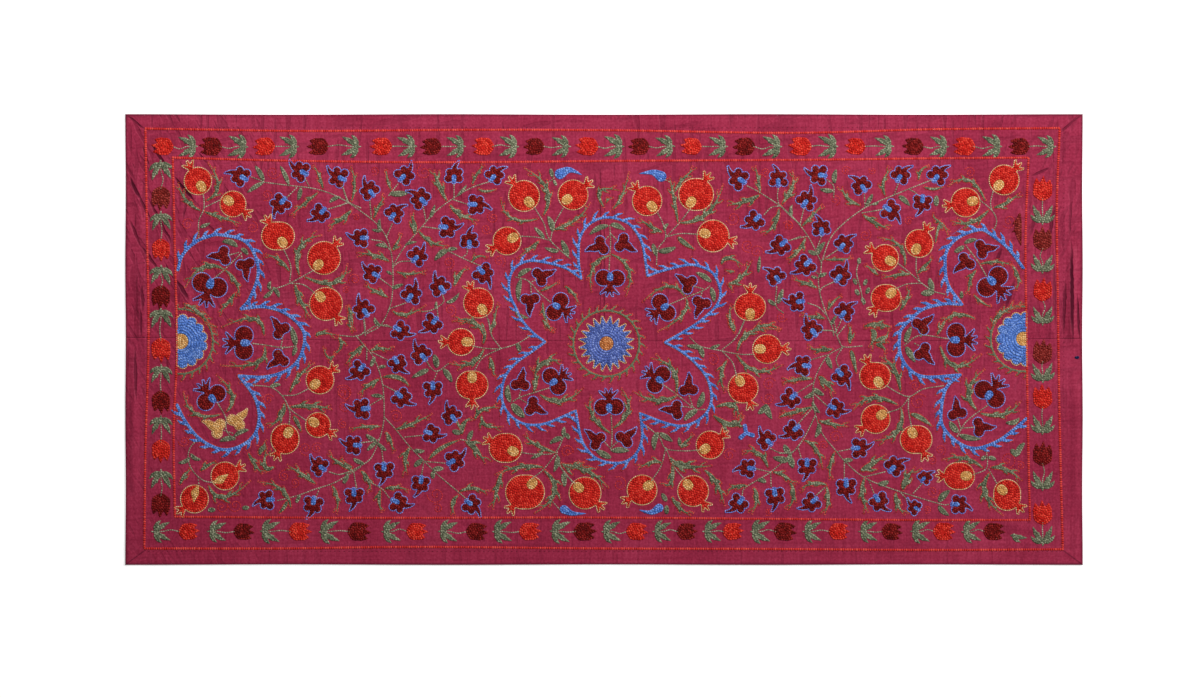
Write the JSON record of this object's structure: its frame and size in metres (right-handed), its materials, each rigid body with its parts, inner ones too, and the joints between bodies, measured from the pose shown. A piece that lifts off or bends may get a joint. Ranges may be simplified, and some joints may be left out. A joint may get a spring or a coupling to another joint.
{
  "type": "suzani embroidered textile",
  "caption": "Long crimson silk suzani of joined loom widths, hemmed, lying flat, chain-stitched with pomegranates, tulips, star flowers and lobed medallions.",
  "frame": {"origin": "middle of the underside, on the surface that the cloth lies on", "axes": "+X along the cloth's length, to the picture's right; +Y across it, towards the picture's top; +Z out of the embroidered face"},
  "size_m": [1.44, 0.678, 0.0054],
  "materials": {
    "silk_ground": "plain-woven crimson silk with soft sheen, chain-stitch embroidery in silk thread"
  },
  "bodies": {
    "root": {"panel_upper": "silk_ground", "panel_lower": "silk_ground"}
  },
  "joints": []
}
